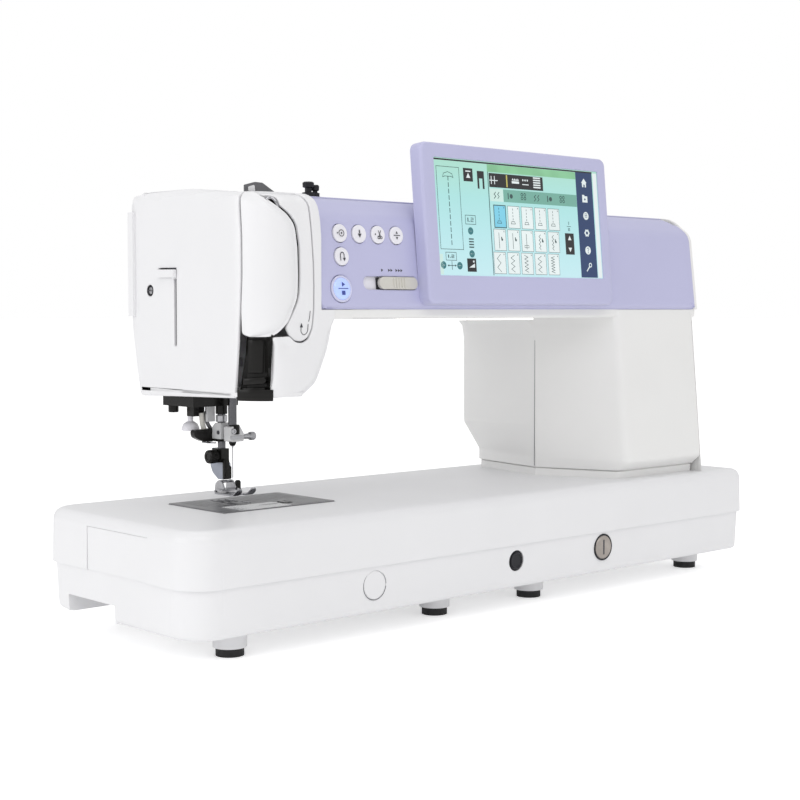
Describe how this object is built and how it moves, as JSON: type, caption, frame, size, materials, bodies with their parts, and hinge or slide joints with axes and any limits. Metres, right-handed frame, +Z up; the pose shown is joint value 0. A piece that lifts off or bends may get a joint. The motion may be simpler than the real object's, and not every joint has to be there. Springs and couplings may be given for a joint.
{
  "type": "sewing machine",
  "caption": "Household computerised sewing machine: wide bed on rubber feet, needle head, arm with keys and an upright touch screen, pillar with handwheel.",
  "frame": {"origin": "on the ground under the middle of the bed", "axes": "+X from the needle head to the handwheel, -Y towards the person sewing, +Z up"},
  "size_m": [0.612, 0.196, 0.3649],
  "materials": {
    "white_shell": "smooth satin white moulding",
    "lavender_shell": "satin pale lavender paint",
    "dark_plastic": "fine texture black moulding",
    "rubber": "matt black rubber",
    "cast_alloy": "raw casting",
    "steel": "ground steel",
    "chrome": "polished plating",
    "plate_steel": "dark brushed plate",
    "screen_glass": "glossy display glass",
    "clear_plastic": "clear moulding",
    "key_plastic": "warm grey key caps",
    "start_key": "back-lit translucent key",
    "dial_metal": "bronze grey plated dial",
    "belt_rubber": "toothed belt",
    "lamp_lens": "opal lens"
  },
  "bodies": {
    "machine": {"arm_frame": "cast_alloy", "arm_front_cover": "lavender_shell", "base_frame": "cast_alloy", "bed_end_panel": "white_shell", "bed_lower_shell": "white_shell", "bed_upper_shell": "white_shell", "bobbin_case": "dark_plastic", "cover_screws": "chrome", "display_glass": "screen_glass", "display_housing": "lavender_shell", "drive_belts": "belt_rubber", "drive_motor": "steel", "face_plate": "white_shell", "front_plug": "white_shell", "head_base": "dark_plastic", "head_front_cover": "white_shell", "lamp_lenses": "lamp_lens", "needle_plate": "plate_steel", "pillar_front_cover": "white_shell", "power_inlet": "dark_plastic", "rear_cover": "white_shell", "rubber_feet": "rubber", "side_cover": "white_shell", "spool_tray": "white_shell", "thread_cover": "white_shell", "top_thread_guide": "chrome"},
    "knee_socket": {"knee_lifter_socket": "dark_plastic"},
    "feed_dial": {"feed_balance_dial": "dial_metal"},
    "hook_cover": {"hook_cover_plate": "clear_plastic"},
    "release_button": {"cover_release_button": "dark_plastic"},
    "feed_unit": {"feed_dog": "steel"},
    "bobbin_unit": {"bobbin": "clear_plastic"},
    "hook_unit": {"rotary_hook": "steel"},
    "lower_drive": {"lower_shaft": "steel"},
    "main_drive": {"main_shaft": "steel", "handwheel": "white_shell"},
    "motor_rotor": {"motor_pulley": "steel"},
    "needle_swing_unit": {"needle_bar_frame": "cast_alloy"},
    "needle_unit": {"needle_bar": "chrome", "needle_clamp": "chrome", "needle": "chrome", "connecting_rod": "steel"},
    "clamp_thumbscrew": {"clamp_screw": "chrome"},
    "take_up_unit": {"take_up_lever": "chrome"},
    "presser_unit": {"presser_bar": "chrome", "foot_holder": "steel"},
    "foot_thumbscrew": {"foot_screw": "dark_plastic"},
    "foot_unit": {"presser_foot": "chrome"},
    "lift_lever": {"presser_lever": "dark_plastic"},
    "threader_handle": {"threader_lever": "white_shell"},
    "threader_arm": {"threader_hook": "dark_plastic"},
    "lid": {"arm_top_cover": "lavender_shell"},
    "start_button": {"start_stop_button": "start_key"},
    "speed_knob": {"speed_slider": "key_plastic"},
    "switch_rocker": {"power_switch": "dark_plastic"},
    "key_reinforce_cap": {"key_reinforce": "key_plastic"},
    "key_needle_position_cap": {"key_needle_position": "key_plastic"},
    "key_thread_cutter_cap": {"key_thread_cutter": "key_plastic"},
    "key_foot_lift_cap": {"key_foot_lift": "key_plastic"},
    "key_reverse_cap": {"key_reverse": "key_plastic"}
  },
  "joints": [
    {"name": "handwheel_turn", "type": "hinge", "parent": "machine", "child": "main_drive", "pos_m": [0.262, 0.014, 0.288], "axis": [1, 0, 0], "continuous": true},
    {"name": "motor_turn", "type": "hinge", "parent": "machine", "child": "motor_rotor", "pos_m": [0.204, 0.018, 0.168], "axis": [1, 0, 0], "continuous": true},
    {"name": "lower_shaft_turn", "type": "hinge", "parent": "machine", "child": "lower_drive", "pos_m": [0, 0.0145, 0.042], "axis": [1, 0, 0], "continuous": true},
    {"name": "hook_turn", "type": "hinge", "parent": "machine", "child": "hook_unit", "pos_m": [-0.1902, -0.0085, 0.07], "axis": [0, 0, 1], "continuous": true},
    {"name": "bobbin_turn", "type": "hinge", "parent": "machine", "child": "bobbin_unit", "pos_m": [-0.1902, -0.0085, 0.07], "axis": [0, 0, 1], "continuous": true},
    {"name": "needle_swing", "type": "hinge", "parent": "machine", "child": "needle_swing_unit", "pos_m": [-0.1902, 0.022, 0.3], "axis": [0, 1, 0], "range_deg": [-0.9, 0.9]},
    {"name": "needle_stroke", "type": "slide", "parent": "needle_swing_unit", "child": "needle_unit", "axis": [0, 0, 1], "range_m": [-0.032, 0]},
    {"name": "clamp_screw_turn", "type": "hinge", "parent": "needle_unit", "child": "clamp_thumbscrew", "pos_m": [-0.1822, 0.014, 0.1431], "axis": [1, 0, 0], "range_deg": [0, 360]},
    {"name": "take_up_swing", "type": "hinge", "parent": "machine", "child": "take_up_unit", "pos_m": [-0.204, -0.022, 0.272], "axis": [1, 0, 0], "range_deg": [0, 46]},
    {"name": "presser_drop", "type": "slide", "parent": "machine", "child": "presser_unit", "axis": [0, 0, 1], "range_m": [-0.0053, 0]},
    {"name": "presser_lever_turn", "type": "hinge", "parent": "machine", "child": "lift_lever", "pos_m": [-0.1902, 0.066, 0.226], "axis": [1, 0, 0], "range_deg": [-20.5, 0]},
    {"name": "foot_screw_turn", "type": "hinge", "parent": "presser_unit", "child": "foot_thumbscrew", "pos_m": [-0.1982, 0.028, 0.128], "axis": [1, 0, 0], "range_deg": [0, 360]},
    {"name": "foot_tilt", "type": "hinge", "parent": "presser_unit", "child": "foot_unit", "pos_m": [-0.1902, 0.024, 0.109], "axis": [1, 0, 0], "range_deg": [-5, 5]},
    {"name": "feed_stroke", "type": "slide", "parent": "machine", "child": "feed_unit", "axis": [0, 1, 0], "range_m": [-0.0024, 0.0024]},
    {"name": "hook_cover_lift", "type": "slide", "parent": "machine", "child": "hook_cover", "axis": [0, 0, 1], "range_m": [0, 0.003]},
    {"name": "cover_release_slide", "type": "slide", "parent": "machine", "child": "release_button", "axis": [1, 0, 0], "range_m": [0, 0.003], "stiffness_N_per_m": 150},
    {"name": "knee_socket_turn", "type": "hinge", "parent": "machine", "child": "knee_socket", "pos_m": [0.0047, -0.085, 0.041], "axis": [0, 1, 0], "range_deg": [0, 25]},
    {"name": "feed_dial_turn", "type": "hinge", "parent": "machine", "child": "feed_dial", "pos_m": [0.11, -0.085, 0.0407], "axis": [0, 1, 0], "range_deg": [-40, 40]},
    {"name": "threader_slide", "type": "slide", "parent": "machine", "child": "threader_handle", "axis": [0, 0, 1], "range_m": [-0.045, 0], "stiffness_N_per_m": 60},
    {"name": "threader_arm_slide", "type": "slide", "parent": "machine", "child": "threader_arm", "axis": [0, 0, 1], "range_m": [-0.021, 0]},
    {"name": "lid_open", "type": "hinge", "parent": "machine", "child": "lid", "pos_m": [0, 0.05815, 0.327], "axis": [-1, 0, 0], "range_deg": [0, 80]},
    {"name": "start_stop_press", "type": "slide", "parent": "machine", "child": "start_button", "axis": [0, 0.9927, -0.1203], "range_m": [0, 0.001], "stiffness_N_per_m": 400},
    {"name": "speed_slide", "type": "slide", "parent": "machine", "child": "speed_knob", "axis": [1, 0, 0], "range_m": [-0.014, 0]},
    {"name": "power_switch_rock", "type": "hinge", "parent": "machine", "child": "switch_rocker", "pos_m": [0.256, -0.038, 0.127], "axis": [0, 1, 0], "range_deg": [-8, 0]},
    {"name": "key_reinforce_press", "type": "slide", "parent": "machine", "child": "key_reinforce_cap", "axis": [0, 0.9927, -0.1203], "range_m": [0, 0.001], "stiffness_N_per_m": 400},
    {"name": "key_needle_position_press", "type": "slide", "parent": "machine", "child": "key_needle_position_cap", "axis": [0, 0.9927, -0.1203], "range_m": [0, 0.001], "stiffness_N_per_m": 400},
    {"name": "key_thread_cutter_press", "type": "slide", "parent": "machine", "child": "key_thread_cutter_cap", "axis": [0, 0.9927, -0.1203], "range_m": [0, 0.001], "stiffness_N_per_m": 400},
    {"name": "key_foot_lift_press", "type": "slide", "parent": "machine", "child": "key_foot_lift_cap", "axis": [0, 0.9927, -0.1203], "range_m": [0, 0.001], "stiffness_N_per_m": 400},
    {"name": "key_reverse_press", "type": "slide", "parent": "machine", "child": "key_reverse_cap", "axis": [0, 0.9927, -0.1203], "range_m": [0, 0.001], "stiffness_N_per_m": 400}
  ],
  "couplings": [
    {"joint": "motor_turn", "follows": "handwheel_turn", "ratio": 2.75},
    {"joint": "lower_shaft_turn", "follows": "handwheel_turn", "ratio": 1},
    {"joint": "hook_turn", "follows": "handwheel_turn", "ratio": 2},
    {"joint": "take_up_swing", "follows": "needle_stroke", "rad_per_m": -24.5},
    {"joint": "presser_lever_turn", "follows": "presser_drop", "rad_per_m": 65.9},
    {"joint": "threader_arm_slide", "follows": "threader_slide", "ratio": 0.45}
  ]
}
